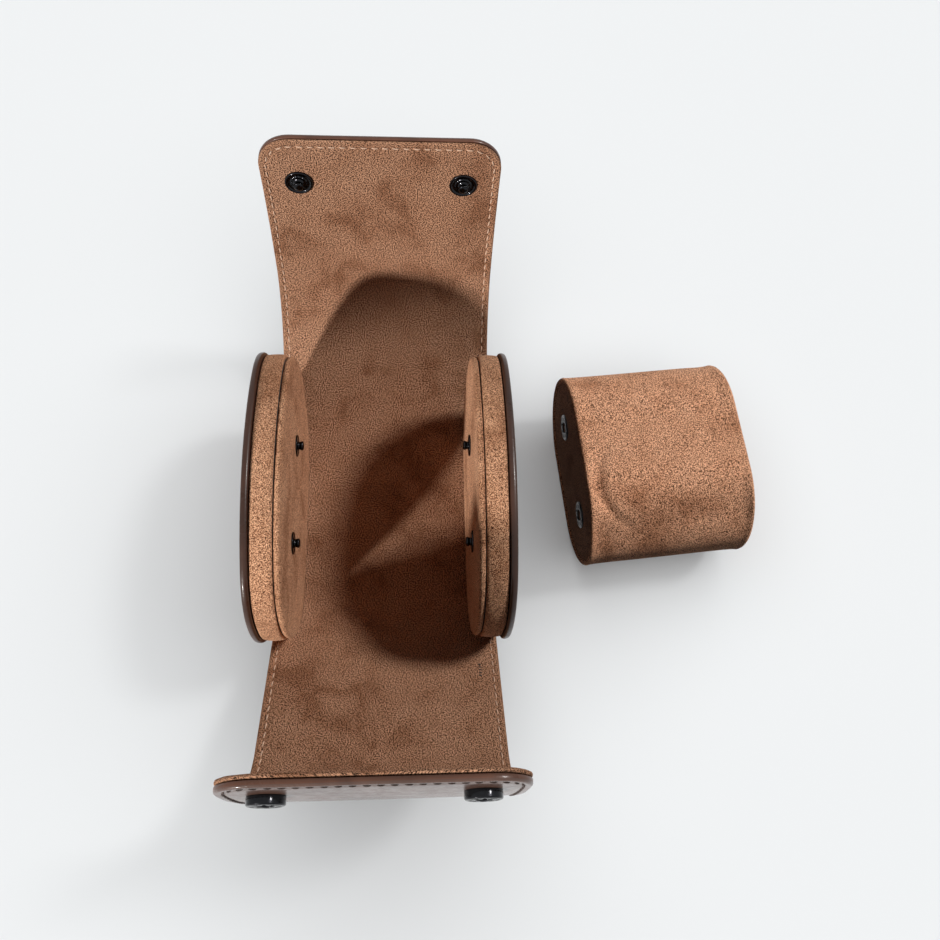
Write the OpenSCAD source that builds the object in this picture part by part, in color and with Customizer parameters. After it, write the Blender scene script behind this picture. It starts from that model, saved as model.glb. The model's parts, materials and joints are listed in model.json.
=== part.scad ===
// Single watch travel roll, lying open, with its removable watch cushion beside it.
// X runs across the roll, -Y is the front flap, +Y is the rear flap, Z is up.
// The wrap is a leather, board and suede sheet that follows a path of arcs in the YZ plane.
// The same arcs shape the two end caps that stand on it.

/* [End caps] */
// Half length of the flat foot of a cap
foot_flat = 18; // [14:0.5:24]
// Radius of the lower corners of a cap
low_r = 28.5; // [24:0.5:34]
// Radius of the front and rear sides of a cap
side_r = 44.9; // [40:0.1:52]
// Radius of the upper corners of a cap
high_r = 24.8; // [20:0.1:30]
// Thickness of the suede part of a cap
cap_t = 10; // [8:0.1:14]
// Thickness of the padded inner panel of a cap
panel_t = 2.1; // [1.6:0.1:3]
// How far the inner panel stays inside the suede band
panel_inset = 0.4; // [0.2:0.1:1]
// Width of the seam groove between the inner panel and the band
seam_w = 0.4; // [0.2:0.1:0.8]
// Thickness of the suede on bands, panels and the cushion
suede_t = 1.4; // [1:0.1:2]
// Thickness of the leather end plate
plate_t = 1.7; // [1.2:0.1:2.5]
// How far the leather end plate stands out past the suede band
plate_over = 1.6; // [1:0.1:2.5]
// Radius of the rounded edge of the end plate
plate_edge_r = 0.7; // [0.3:0.1:0.8]
// Thickness of the backing board behind the end plate
backer_t = 0.7; // [0.4:0.1:1]
// How deep the backing board sits in the suede band
backer_sunk = 0.4; // [0.2:0.1:0.6]
// How far the backing board stays inside the outline of the band
backer_inset = 0.4; // [0.2:0.1:1]
// Radius of the rounded edge of the inner panel
panel_edge_r = 0.9; // [0.4:0.1:1.2]

/* [Wrap] */
// Clear width between the two caps, where the cushion goes
bay_w = 60; // [50:0.5:80]
// Gap between an edge of the wrap and the end plate
wrap_gap = 0.4; // [0.3:0.1:1]
// Thickness of the suede lining
lining_t = 1.2; // [0.8:0.1:1.8]
// Thickness of the stiffener board
board_t = 0.8; // [0.5:0.1:1.5]
// Thickness of the outer leather
leather_t = 1.4; // [1:0.1:2]
// How far the board stays inside the edges of the leather
board_inset = 1.6; // [1:0.1:4]
// Radius of the corners of both flaps
corner_r = 11; // [6:0.5:16]
// Split between two neighbouring sections of the wrap
split = 0.2; // [0.1:0.05:0.4]

/* [Front flap] */
// Slope at which the front flap leaves the caps, in degrees
front_rise = 33; // [28:1:38]
// Length of the straight part of the front flap
front_run = 58.5; // [56:0.5:62]
// Length of the bend of the front flap
front_bend = 27.5; // [25:0.5:30]
// Angle of the bend of the front flap
front_bend_turn = 57; // [50:1:60]
// Length of the upright end of the front flap
front_end = 45; // [42:0.5:50]
// Inward curl of the upright end, in degrees
front_curl = 9.5; // [6:0.5:12]
// Distance from the caps to the first fold
front_fold_1 = 9; // [7:0.5:12]
// Distance from the caps to the second fold
front_fold_2 = 27; // [22:0.5:32]
// Distance from the caps to the third fold
front_fold_3 = 48; // [42:0.5:54]

/* [Rear flap] */
// Slope at which the rear flap leaves the caps, in degrees
rear_rise = 24; // [20:1:28]
// Length of the straight part of the rear flap
rear_run = 33.5; // [32:0.5:38]
// Length of the bend of the rear flap
rear_bend = 40.5; // [38:0.5:44]
// Angle of the bend of the rear flap
rear_bend_turn = 49; // [44:1:54]
// Length of the upright end of the rear flap
rear_end = 55.5; // [52:0.5:60]
// Inward curl of the upright end, in degrees
rear_curl = 13; // [8:0.5:16]
// Distance from the caps to the first fold
rear_fold_1 = 9; // [7:0.5:12]
// Distance from the caps to the second fold
rear_fold_2 = 21; // [17:0.5:27]
// Distance from the caps to the third fold
rear_fold_3 = 62; // [54:0.5:68]
// Distance from the caps to the fourth fold
rear_fold_4 = 100; // [94:0.5:106]

/* [Snap fasteners] */
// Distance between the two snaps of a flap
snap_span = 54.6; // [44:0.2:56]
// Distance from the end of the front flap to its sockets
socket_back = 14.5; // [13:0.5:16]
// Distance from the end of the rear flap to its studs
stud_back = 17.5; // [16:0.5:20]
// Radius of a socket
socket_r = 5; // [4:0.1:5.5]
// Height of a socket above the leather
socket_h = 2.4; // [2:0.1:3]
// Radius of the post of a stud
post_r = 1.65; // [1.2:0.05:1.9]
// Length of the post of a stud above its flange
post_l = 2; // [1.5:0.1:2.2]
// Clearance round a post in its socket
post_gap = 0.45; // [0.3:0.05:0.6]
// Radius of the flange of a stud on the rear flap
stud_r = 4.65; // [4:0.05:5.2]
// Height of the flange of a stud on the rear flap
flange_h = 0.7; // [0.5:0.1:0.9]
// Radius of the cover cap on the leather of the rear flap
cover_r = 5.3; // [4.8:0.1:6]
// Height of the cover cap
cover_h = 1.2; // [0.9:0.1:1.6]
// Radius of the rivet shanks
shank_r = 1.5; // [1:0.1:1.6]
// Clearance round a rivet shank or a socket
hole_gap = 0.1; // [0.05:0.05:0.2]
// Depth of the fine steps in the face of a socket
face_step = 0.2; // [0.1:0.05:0.3]
// How far an eyelet stands out of the lining
eyelet_h = 0.3; // [0.2:0.05:0.4]
// Radius of an eyelet
eyelet_r = 3.5; // [3:0.1:4]

/* [Cushion studs on the caps] */
// Distance between the two studs of a cap
stud_span = 35; // [30:0.5:40]
// Height of the studs above the foot of the cap
stud_level = 39.3; // [36:0.1:42]
// Radius of the flange of a cap stud
cap_stud_r = 3.8; // [3:0.1:4.5]
// Height of the flange of a cap stud
cap_stud_h = 0.3; // [0.2:0.05:0.5]
// Thickness of the washer that holds a cap stud behind the inner panel
washer_t = 0.8; // [0.5:0.1:1.2]
// Radius of that washer
washer_r = 3.6; // [3:0.1:4.5]

/* [Cushion] */
// Half length of the flat underside of the cushion
pad_flat = 13; // [9:0.5:16]
// Radius of the upper and lower corners of the cushion
pad_corner_r = 23.7; // [20:0.1:27]
// Radius of the front and rear ends of the cushion
pad_side_r = 22.5; // [19:0.1:26]
// Clearance between the cushion and each cap when it is put in
pad_gap = 0.3; // [0.2:0.1:0.8]
// How deep the end panels sit inside the cover
pad_lip = 0.5; // [0.3:0.1:1]
// How far a cushion socket stands out of its end panel
pad_socket_h = 0.35; // [0.2:0.05:0.4]
// Depth of a cushion socket inside the pad
pad_socket_d = 3; // [2.6:0.1:4]
// Centre of the cushion across the roll
pad_x = 98.8; // [90:0.1:130]
// Centre of the cushion from front to back
pad_y = 17.7; // [-30:0.1:40]
// Turn of the cushion on the table, in degrees
pad_turn = 5.5; // [-20:0.5:20]

/* [Hidden] */

$fn = 64;

// Turning angles of the arcs of a cap, from the foot up
low_turn = 60;
side_turn = 50;
high_turn = 45;
crown_turn = 180 - low_turn - side_turn - high_turn;
// Turning angle of each corner of the cushion
pad_corner_turn = 60;

// Distances along each flap, from where it leaves the caps, at which its sections meet
front_splits = [front_fold_1, front_fold_2, front_fold_3];
rear_splits = [rear_fold_1, rear_fold_2, rear_fold_3, rear_fold_4];

// Spacing of the outline points along the bends
step = low_r / 14;
// Size that is larger than any section, for cutting
reach = front_run + front_bend + front_end;

wrap_t = lining_t + board_t + leather_t;
cap_in = bay_w / 2;
cap_out = cap_in + cap_t;
wrap_w = 2 * (cap_out - wrap_gap);
cap_back = cap_out - backer_sunk;
foot_z = wrap_t;
bore_r = post_r + post_gap;

suede = [0.66, 0.45, 0.33];
leather = [0.36, 0.24, 0.18];
board_colour = [0.2, 0.16, 0.13];
foam = [0.32, 0.3, 0.28];
nickel = [0.16, 0.16, 0.17];

// ---- Paths made of straight and curved legs ----
// A pose is [y, z, heading] and a leg is [length, turn]; a positive turn goes left.

function arc_len(r, turn) = r * turn * PI / 180;

function along(p, len, turn) = abs(turn) < 0.001
    ? [p[0] + len * cos(p[2]), p[1] + len * sin(p[2]), p[2]]
    : let (r = len / (turn * PI / 180), h = p[2] + turn)
      [p[0] + r * (sin(h) - sin(p[2])), p[1] - r * (cos(h) - cos(p[2])), h];

function pose_at(p, legs, s, i = 0) =
    (i == len(legs) - 1 || s <= legs[i][0])
    ? along(p, s, legs[i][1] * s / legs[i][0])
    : pose_at(along(p, legs[i][0], legs[i][1]), legs, s - legs[i][0], i + 1);

// How far the face of a curved leg rises over a disc of radius r that lies on its hollow side
function hollow(r, leg) = let (bend = leg[0] / (leg[1] * PI / 180)) bend - sqrt(bend * bend - r * r);

// Length of a path up to leg n
function path_len(legs, n) = n == 0 ? 0 : legs[n - 1][0] + path_len(legs, n - 1);

// Point of a pose, moved out by d to the right of the path
function shifted(p, d) = [p[0] + d * sin(p[2]), p[1] - d * cos(p[2])];

// Stations along a path from a to b: both ends, every leg joint between them and steps on its bends
function stations(legs, a, b) = concat([a], [for (i = [0:len(legs) - 1])
    let (s0 = path_len(legs, i), lo = max(a, s0), hi = min(b, path_len(legs, i + 1)))
    if (hi - lo > 0.01) each concat(
        legs[i][1] == 0 ? [] : [for (s = [s0:step:hi]) if (s > lo + step / 5 && s < hi - step / 5) s],
        [hi])]);

function reversed(v) = [for (i = [len(v) - 1:-1:0]) v[i]];
function flipped(v) = [for (p = v) [-p[0], p[1]]];

// ---- Outlines of the caps and the cushion ----

cap_legs = [
    [foot_flat, 0],
    [arc_len(low_r, low_turn), low_turn],
    [arc_len(side_r, side_turn), side_turn],
    [arc_len(high_r, high_turn), high_turn]
];
pad_legs = [
    [pad_flat, 0],
    [arc_len(pad_corner_r, pad_corner_turn), pad_corner_turn],
    [arc_len(pad_side_r, 180 - 2 * pad_corner_turn), 180 - 2 * pad_corner_turn],
    [arc_len(pad_corner_r, pad_corner_turn), pad_corner_turn]
];

// Half outline from the end of the flat foot to the end of the last leg, as poses
function half_poses(legs, z) =
    [for (s = stations(legs, legs[0][0], path_len(legs, len(legs)))) pose_at([0, z, 0], legs, s)];

// The crown closes the outline of a cap with one arc over the middle
function crown_poses(legs, z) = let (
        end = pose_at([0, z, 0], legs, path_len(legs, len(legs))),
        crown = [[arc_len(end[0] / sin(crown_turn), crown_turn), crown_turn]])
    [for (s = stations(crown, 0, crown[0][0])) if (s > 0) pose_at(end, crown, s)];

function cap_half(grow) =
    [for (p = concat(half_poses(cap_legs, foot_z), crown_poses(cap_legs, foot_z))) shifted(p, grow)];
function pad_half(grow) = [for (p = half_poses(pad_legs, 0)) shifted(p, grow)];

// The other half is the mirror image, less any point on the middle itself
function off_middle(v) = [for (p = reversed(v)) if (p[0] > 0.001) p];
function cap_outline(grow) = concat(cap_half(grow), flipped(off_middle(cap_half(grow))));
function pad_outline(grow) = concat(pad_half(grow), flipped(off_middle(pad_half(grow))));

// ---- Paths of the wrap, from the middle of the foot outwards ----

front_start = foot_flat + arc_len(low_r, front_rise);
rear_start = foot_flat + arc_len(low_r, rear_rise);
front_legs = [
    [foot_flat, 0], [arc_len(low_r, front_rise), front_rise], [front_run, 0],
    [front_bend, front_bend_turn], [front_end, front_curl]
];
rear_legs = [
    [foot_flat, 0], [arc_len(low_r, rear_rise), rear_rise], [rear_run, 0],
    [rear_bend, rear_bend_turn], [rear_end, rear_curl]
];
front_total = path_len(front_legs, 5);
rear_total = path_len(rear_legs, 5);

function wrap_pose(legs, s) = pose_at([0, wrap_t, 0], legs, s);
function wrap_side(legs, a, b, d) = [for (s = stations(legs, a, b)) shifted(wrap_pose(legs, s), d)];

// Closed outline of one layer of a flap between distances a and b, d0 and d1 under the lining
function layer(legs, a, b, d0, d1) =
    concat(wrap_side(legs, a, b, d0), reversed(wrap_side(legs, a, b, d1)));

// Closed outline of one layer of the base, which runs both ways from its flat middle
function base_layer(a, b, d0, d1) = concat(
    reversed(flipped(wrap_side(front_legs, foot_flat, a, d0))), wrap_side(rear_legs, foot_flat, b, d0),
    reversed(wrap_side(rear_legs, foot_flat, b, d1)), flipped(wrap_side(front_legs, foot_flat, a, d1)));

// Depths of the three layers below the face of the lining
function lining_depth() = [0, lining_t];
function board_depth() = [lining_t, lining_t + board_t];
function leather_depth() = [lining_t + board_t, wrap_t];

// ---- Placing ----

// Stands an outline drawn in Y and Z up across the roll, w wide
module across(w) rotate([90, 0, 90]) linear_extrude(w, center = true) children();

// The same between two distances from the middle, on the right-hand side
module slab(x0, x1) translate([x0, 0, 0]) rotate([90, 0, 90]) linear_extrude(x1 - x0) children();

// Puts children on a path: their Z points out of the wrap and their Y back along the flap
module on_path(legs, s, d = 0) let (p = wrap_pose(legs, s), q = shifted(p, d))
    translate([0, q[0], q[1]]) rotate([180 + p[2], 0, 0]) children();

module front_side() mirror([0, 1, 0]) children();
module left_side() mirror([1, 0, 0]) children();
module each_snap() for (x = [-snap_span / 2, snap_span / 2]) translate([x, 0, 0]) children();

// Places children on the inner face of the right-hand cap, with Z pointing into the bay
module each_cap_stud() for (y = [-stud_span / 2, stud_span / 2])
    translate([cap_in, y, foot_z + stud_level]) rotate([0, -90, 0]) children();

module in_cushion() translate([pad_x, pad_y, 0]) rotate([0, 0, pad_turn]) children();

// ---- Wrap ----

// End of a flap seen from above, w wide, with both corners rounded
module tongue(w, length, r) {
    translate([-w / 2, r]) square([w, length - r]);
    translate([r - w / 2, 0]) square([w - 2 * r, 2 * r]);
    for (x = [r - w / 2, w / 2 - r]) translate([x, r]) circle(r, $fn = 96);
}

// One section of a flap: legs, start and end, layer depths and distance inside the edges
module section(legs, a, b, depth, inset = 0)
    across(wrap_w - 2 * inset) polygon(layer(legs, a + split / 2, b - split / 2, depth[0], depth[1]));

// The last section of a flap, with rounded corners and room for the rivets of its snaps
module end_section(legs, a, total, back, depth, hole_r, inset = 0) difference() {
    intersection() {
        across(wrap_w - 2 * inset) polygon(layer(legs, a + split / 2, total, depth[0], depth[1]));
        on_path(legs, total) translate([0, inset, -reach]) linear_extrude(2 * reach)
            tongue(wrap_w - 2 * inset, total, corner_r - inset / 2);
    }
    on_path(legs, total - back, -wrap_t) each_snap() cylinder(r = hole_r, h = 3 * wrap_t);
}

module base(depth, inset = 0) across(wrap_w - 2 * inset) polygon(base_layer(
    front_start + front_splits[0] - split / 2, rear_start + rear_splits[0] - split / 2,
    depth[0], depth[1]));

module front_section(i, depth, inset = 0) front_side()
    section(front_legs, front_start + front_splits[i - 1], front_start + front_splits[i], depth, inset);
module rear_section(i, depth, inset = 0)
    section(rear_legs, rear_start + rear_splits[i - 1], rear_start + rear_splits[i], depth, inset);
module front_last(depth, inset = 0) front_side()
    end_section(front_legs, front_start + front_splits[2], front_total, socket_back, depth,
        shank_r + hole_gap, inset);
module rear_last(depth, inset = 0)
    end_section(rear_legs, rear_start + rear_splits[3], rear_total, stud_back, depth,
        shank_r + hole_gap, inset);

module base_leather() color(leather) base(leather_depth());
module base_board() color(board_colour) base(board_depth(), board_inset);
module base_lining() color(suede) base(lining_depth());
module front_leather_1() color(leather) front_section(1, leather_depth());
module front_board_1() color(board_colour) front_section(1, board_depth(), board_inset);
module front_lining_1() color(suede) front_section(1, lining_depth());
module front_leather_2() color(leather) front_section(2, leather_depth());
module front_board_2() color(board_colour) front_section(2, board_depth(), board_inset);
module front_lining_2() color(suede) front_section(2, lining_depth());
module front_leather_3() color(leather) front_last(leather_depth());
module front_board_3() color(board_colour) front_last(board_depth(), board_inset);
module front_lining_3() color(suede) front_last(lining_depth());
module rear_leather_1() color(leather) rear_section(1, leather_depth());
module rear_board_1() color(board_colour) rear_section(1, board_depth(), board_inset);
module rear_lining_1() color(suede) rear_section(1, lining_depth());
module rear_leather_2() color(leather) rear_section(2, leather_depth());
module rear_board_2() color(board_colour) rear_section(2, board_depth(), board_inset);
module rear_lining_2() color(suede) rear_section(2, lining_depth());
module rear_leather_3() color(leather) rear_section(3, leather_depth());
module rear_board_3() color(board_colour) rear_section(3, board_depth(), board_inset);
module rear_lining_3() color(suede) rear_section(3, lining_depth());
module rear_leather_4() color(leather) rear_last(leather_depth());
module rear_board_4() color(board_colour) rear_last(board_depth(), board_inset);
module rear_lining_4() color(suede) rear_last(lining_depth());

// ---- Snap fasteners ----

// Female half: a low drum with a sprung mouth, h above its seat and d deep below it
module socket(h, d = 0) rotate_extrude() polygon([
    [0, -d], [socket_r, -d], [socket_r, h - face_step], [socket_r - face_step, h],
    [bore_r * 1.7, h], [bore_r * 1.55, h - face_step], [bore_r * 1.25, h - face_step],
    [bore_r * 1.15, h], [bore_r, h - face_step], [bore_r, h - post_l], [0, h - post_l]
]);

// Male half: a dished flange of radius r and height h with a bulbed post in the middle
module stud(r, h) rotate_extrude() polygon([
    [0, 0], [r, 0], [r, h * 0.6], [r * 0.94, h], [r * 0.84, h], [r * 0.77, h * 0.5],
    [post_r * 1.24, h * 0.5], [post_r * 0.88, h + post_l * 0.1], [post_r * 0.88, h + post_l * 0.35],
    [post_r, h + post_l * 0.6], [post_r * 0.94, h + post_l * 0.85],
    [post_r * 0.64, h + post_l], [0, h + post_l]
]);

module front_sockets() color(nickel) front_side()
    on_path(front_legs, front_total - socket_back, wrap_t) each_snap() socket(socket_h);

module front_eyelets() color(nickel) front_side()
    on_path(front_legs, front_total - socket_back) each_snap() {
        translate([0, 0, -eyelet_h - hollow(eyelet_r, front_legs[4])]) cylinder(r = eyelet_r, h = eyelet_h);
        translate([0, 0, -eyelet_h]) cylinder(r = shank_r, h = wrap_t + eyelet_h);
    }

module rear_studs() color(nickel) on_path(rear_legs, rear_total - stud_back)
    each_snap() translate([0, 0, -hollow(stud_r, rear_legs[4])]) rotate([180, 0, 0])
        stud(stud_r, flange_h);

module rear_covers() color(nickel) on_path(rear_legs, rear_total - stud_back) each_snap() {
    cylinder(r = shank_r, h = wrap_t);
    translate([0, 0, wrap_t]) rotate_extrude() polygon([
        [0, 0], [cover_r, 0], [cover_r, cover_h * 0.4], [cover_r * 0.93, cover_h * 0.75],
        [cover_r * 0.74, cover_h], [0, cover_h]
    ]);
}

// ---- End caps, drawn on the right-hand side ----

// Solid between x0 and x1 with the outline of a cap; the edge at x1 is rounded by r
module rounded_cap_slab(x0, x1, grow, r) {
    rings = concat([[x0, grow]], [for (a = [0:30:90]) [x1 - r * (1 - sin(a)), grow - r * (1 - cos(a))]]);
    n = len(cap_outline(grow));
    points = [for (k = rings) for (p = cap_outline(k[1])) [k[0], p[0], p[1]]];
    sides = [for (i = [0:len(rings) - 2]) for (j = [0:n - 1])
        let (a = i * n + j, b = i * n + (j + 1) % n) [a, a + n, b + n, b]];
    last = (len(rings) - 1) * n;
    polyhedron(points, concat([[for (j = [0:n - 1]) j]], sides, [[for (j = [n - 1:-1:0]) last + j]]),
        convexity = 2);
}

module cap_plate() color(leather) rounded_cap_slab(
    cap_back + backer_t, cap_back + backer_t + plate_t, plate_over, plate_edge_r);

module cap_backer() color(board_colour)
    slab(cap_back, cap_back + backer_t) polygon(cap_outline(-backer_inset));

module cap_band() color(suede) slab(cap_in + panel_t + seam_w, cap_back) difference() {
    polygon(cap_outline(0));
    polygon(cap_outline(-suede_t));
}

module cap_core() color(foam) difference() {
    slab(cap_in + panel_t, cap_back) polygon(cap_outline(-suede_t));
    each_cap_stud() translate([0, 0, -panel_t - washer_t - hole_gap])
        cylinder(r = washer_r + hole_gap, h = 2 * washer_t);
}

module cap_panel() color(suede) difference() {
    translate([cap_in * 2 + panel_t, 0, 0]) mirror([1, 0, 0])
        rounded_cap_slab(cap_in, cap_in + panel_t, -panel_inset, panel_edge_r);
    each_cap_stud() translate([0, 0, -2 * panel_t]) cylinder(r = shank_r + hole_gap, h = 3 * panel_t);
}

module cap_studs() color(nickel) each_cap_stud() {
    stud(cap_stud_r, cap_stud_h);
    translate([0, 0, -panel_t]) cylinder(r = shank_r, h = panel_t);
    translate([0, 0, -panel_t - washer_t]) cylinder(r = washer_r, h = washer_t);
}

module right_plate() cap_plate();
module right_backer() cap_backer();
module right_band() cap_band();
module right_core() cap_core();
module right_panel() cap_panel();
module right_studs() cap_studs();
module left_plate() left_side() cap_plate();
module left_backer() left_side() cap_backer();
module left_band() left_side() cap_band();
module left_core() left_side() cap_core();
module left_panel() left_side() cap_panel();
module left_studs() left_side() cap_studs();

// ---- Cushion ----

pad_len = bay_w - 2 * pad_gap;
pad_face = pad_len / 2 - pad_lip;
pad_mid = pad_corner_r * (1 - cos(pad_corner_turn)) + pad_side_r * cos(pad_corner_turn);

// Places children on the right-hand end panel of the cushion, with Z pointing out
module each_pad_socket() for (y = [-stud_span / 2, stud_span / 2])
    translate([pad_face, y, pad_mid]) rotate([0, 90, 0]) children();

module pad_pockets() each_pad_socket() translate([0, 0, -pad_socket_d])
    cylinder(r = socket_r + hole_gap, h = 2 * pad_socket_d);

module pad_cover() color(suede) in_cushion() across(pad_len) difference() {
    polygon(pad_outline(0));
    polygon(pad_outline(-suede_t));
}

module pad_core() color(foam) in_cushion() difference() {
    across(2 * (pad_face - suede_t)) polygon(pad_outline(-suede_t));
    pad_pockets();
    left_side() pad_pockets();
}

module pad_panel() difference() {
    slab(pad_face - suede_t, pad_face) polygon(pad_outline(-suede_t));
    pad_pockets();
}

module pad_sockets() each_pad_socket() socket(pad_socket_h, pad_socket_d);

module pad_right_panel() color(suede) in_cushion() pad_panel();
module pad_left_panel() color(suede) in_cushion() left_side() pad_panel();
module pad_right_sockets() color(nickel) in_cushion() pad_sockets();
module pad_left_sockets() color(nickel) in_cushion() left_side() pad_sockets();

base_leather();
base_board();
base_lining();
front_leather_1();
front_board_1();
front_lining_1();
front_leather_2();
front_board_2();
front_lining_2();
front_leather_3();
front_board_3();
front_lining_3();
front_sockets();
front_eyelets();
rear_leather_1();
rear_board_1();
rear_lining_1();
rear_leather_2();
rear_board_2();
rear_lining_2();
rear_leather_3();
rear_board_3();
rear_lining_3();
rear_leather_4();
rear_board_4();
rear_lining_4();
rear_studs();
rear_covers();
left_plate();
left_backer();
left_band();
left_core();
left_panel();
left_studs();
right_plate();
right_backer();
right_band();
right_core();
right_panel();
right_studs();
pad_cover();
pad_core();
pad_left_panel();
pad_right_panel();
pad_left_sockets();
pad_right_sockets();
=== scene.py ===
"""Dresses a watch travel roll: a leather wrap lined with suede, two padded end caps,
ring snap fasteners and a loose watch cushion."""
import json
import math
import random

import bmesh
import bpy
import numpy as np
from bpy.props import FloatProperty, FloatVectorProperty, IntProperty, PointerProperty
from mathutils import Matrix, Vector, noise

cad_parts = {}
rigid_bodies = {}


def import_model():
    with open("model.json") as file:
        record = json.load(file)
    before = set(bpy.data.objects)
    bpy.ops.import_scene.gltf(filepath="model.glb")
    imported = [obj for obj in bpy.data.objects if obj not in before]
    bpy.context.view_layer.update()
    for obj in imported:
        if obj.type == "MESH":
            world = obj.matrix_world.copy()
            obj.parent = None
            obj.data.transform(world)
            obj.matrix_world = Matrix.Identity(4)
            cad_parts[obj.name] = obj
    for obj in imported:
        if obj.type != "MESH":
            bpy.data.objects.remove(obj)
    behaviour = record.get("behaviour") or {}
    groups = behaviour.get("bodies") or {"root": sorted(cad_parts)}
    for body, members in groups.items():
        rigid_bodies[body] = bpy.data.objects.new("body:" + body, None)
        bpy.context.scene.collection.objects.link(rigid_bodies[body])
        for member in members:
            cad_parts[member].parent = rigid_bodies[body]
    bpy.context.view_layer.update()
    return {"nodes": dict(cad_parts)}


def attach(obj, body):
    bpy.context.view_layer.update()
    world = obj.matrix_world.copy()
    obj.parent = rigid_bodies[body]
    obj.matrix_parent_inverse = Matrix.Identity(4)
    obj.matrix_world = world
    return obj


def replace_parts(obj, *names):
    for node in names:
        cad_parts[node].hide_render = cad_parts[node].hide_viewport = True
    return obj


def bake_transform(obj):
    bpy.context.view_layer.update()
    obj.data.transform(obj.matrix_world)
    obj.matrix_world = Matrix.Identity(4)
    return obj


bl_info = {
    "name": "Watch travel roll",
    "version": (1, 0, 0),
    "blender": (4, 5, 0),
    "location": "View3D > Sidebar > Watch roll",
    "description": "Leather, suede, stitching, snaps and cushion of an open watch roll",
    "category": "Object",
}

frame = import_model()
MM = 0.001


# ---- Sizes and colours that a user would change ----

def length(name, description, millimetres):
    return FloatProperty(name=name, description=description, default=millimetres * MM,
                         min=0.0, unit="LENGTH", subtype="DISTANCE", precision=5)


def angle(name, description, degrees):
    return FloatProperty(name=name, description=description, default=math.radians(degrees),
                         unit="ROTATION", subtype="ANGLE")


def colour(name, description, red, green, blue):
    def linear(v):
        v /= 255
        return v / 12.92 if v <= 0.04045 else ((v + 0.055) / 1.055) ** 2.4
    return FloatVectorProperty(name=name, description=description, subtype="COLOR", size=3,
                               min=0.0, max=1.0, default=[linear(v) for v in (red, green, blue)])


class WrapSizes(bpy.types.PropertyGroup):
    """Sizes of the wrap, which follows a path of straight and curved legs"""
    foot: length("Foot", "Half length of the flat foot", 18)
    low_radius: length("Lower radius", "Radius at the lower corners of the caps", 28.5)
    front_rise: angle("Front rise", "Slope of the front flap", 33)
    front_run: length("Front run", "Straight part of the front flap", 58.5)
    front_bend: length("Front bend", "Length of the bend of the front flap", 27.5)
    front_turn: angle("Front turn", "Angle of the bend of the front flap", 57)
    front_end: length("Front end", "Upright end of the front flap", 45)
    front_curl: angle("Front curl", "Inward curl of the front end", 9.5)
    rear_rise: angle("Rear rise", "Slope of the rear flap", 24)
    rear_run: length("Rear run", "Straight part of the rear flap", 33.5)
    rear_bend: length("Rear bend", "Length of the bend of the rear flap", 40.5)
    rear_turn: angle("Rear turn", "Angle of the bend of the rear flap", 49)
    rear_end: length("Rear end", "Upright end of the rear flap", 55.5)
    rear_curl: angle("Rear curl", "Inward curl of the rear end", 13)
    half_width: length("Half width", "Half width of the wrap", 39.6)
    corner: length("Corner radius", "Radius of the corners of the flaps", 11)
    lining: length("Lining", "Thickness of the suede lining", 1.2)
    board: length("Board", "Thickness of the stiffener board", 0.8)
    leather: length("Leather", "Thickness of the outer leather", 1.4)
    board_inset: length("Board inset", "How far the board stays inside the edges", 1.6)
    pinch: length("Pinch", "How far the leather rises to the lining at the edges", 0.5)
    stitch_inset: length("Stitch inset", "Distance of the stitches from the edges", 2.3)
    stitch_pitch: length("Stitch pitch", "Distance from stitch to stitch", 3.4)
    stitch_length: length("Stitch length", "Length of thread that shows in one stitch", 2.2)
    thread: length("Thread", "Radius of the thread", 0.25)


class CapSizes(bpy.types.PropertyGroup):
    """Sizes of the padded end caps"""
    inner: length("Inner face", "Distance of the inner face from the middle", 30)
    outer: length("Band end", "Distance of the end of the suede band from the middle", 39.6)
    panel: length("Panel", "Thickness of the inner panel", 2.1)
    seam: length("Seam", "Width of the groove beside the inner panel", 0.4)
    backer: length("Backer", "Thickness of the board behind the plate", 0.7)
    plate: length("Plate", "Thickness of the leather plate", 1.7)
    plate_over: length("Plate overhang", "How far the plate stands out past the band", 0.9)
    low_turn: angle("Lower turn", "Angle of the lower corners", 60)
    side_radius: length("Side radius", "Radius of the front and rear sides", 44.9)
    side_turn: angle("Side turn", "Angle of the front and rear sides", 50)
    high_radius: length("Upper radius", "Radius of the upper corners", 24.8)
    high_turn: angle("Upper turn", "Angle of the upper corners", 45)
    stud_span: length("Stud span", "Distance between the two studs", 35)
    stud_level: length("Stud level", "Height of the studs above the foot", 39.3)


class SnapSizes(bpy.types.PropertyGroup):
    """Sizes of the ring snap fasteners"""
    span: length("Span", "Distance between the two snaps of a flap", 54.6)
    socket_back: length("Socket place", "Distance of the sockets from the front end", 14.5)
    stud_back: length("Stud place", "Distance of the studs from the rear end", 17.5)
    socket_radius: length("Socket radius", "Radius of a socket", 5)
    socket_height: length("Socket height", "Height of a socket", 2.4)
    post_radius: length("Post radius", "Radius of a post", 1.65)
    post_length: length("Post length", "Length of a post above its flange", 2)
    bore_gap: length("Bore clearance", "Clearance round a post in its socket", 0.45)
    flange_radius: length("Flange radius", "Radius of the flange of a rear stud", 4.65)
    flange_height: length("Flange height", "Height of the flange of a rear stud", 0.7)
    cover_radius: length("Cover radius", "Radius of a cover cap", 5.3)
    cover_height: length("Cover height", "Height of a cover cap", 1.2)
    eyelet_radius: length("Eyelet radius", "Radius of an eyelet", 3.5)
    cap_stud_radius: length("Cap stud radius", "Radius of the flange of a cap stud", 3.8)
    cap_stud_height: length("Cap stud height", "Height of the flange of a cap stud", 0.3)
    sides: IntProperty(name="Sides", description="Points round a snap", default=48, min=12, max=96)


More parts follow.
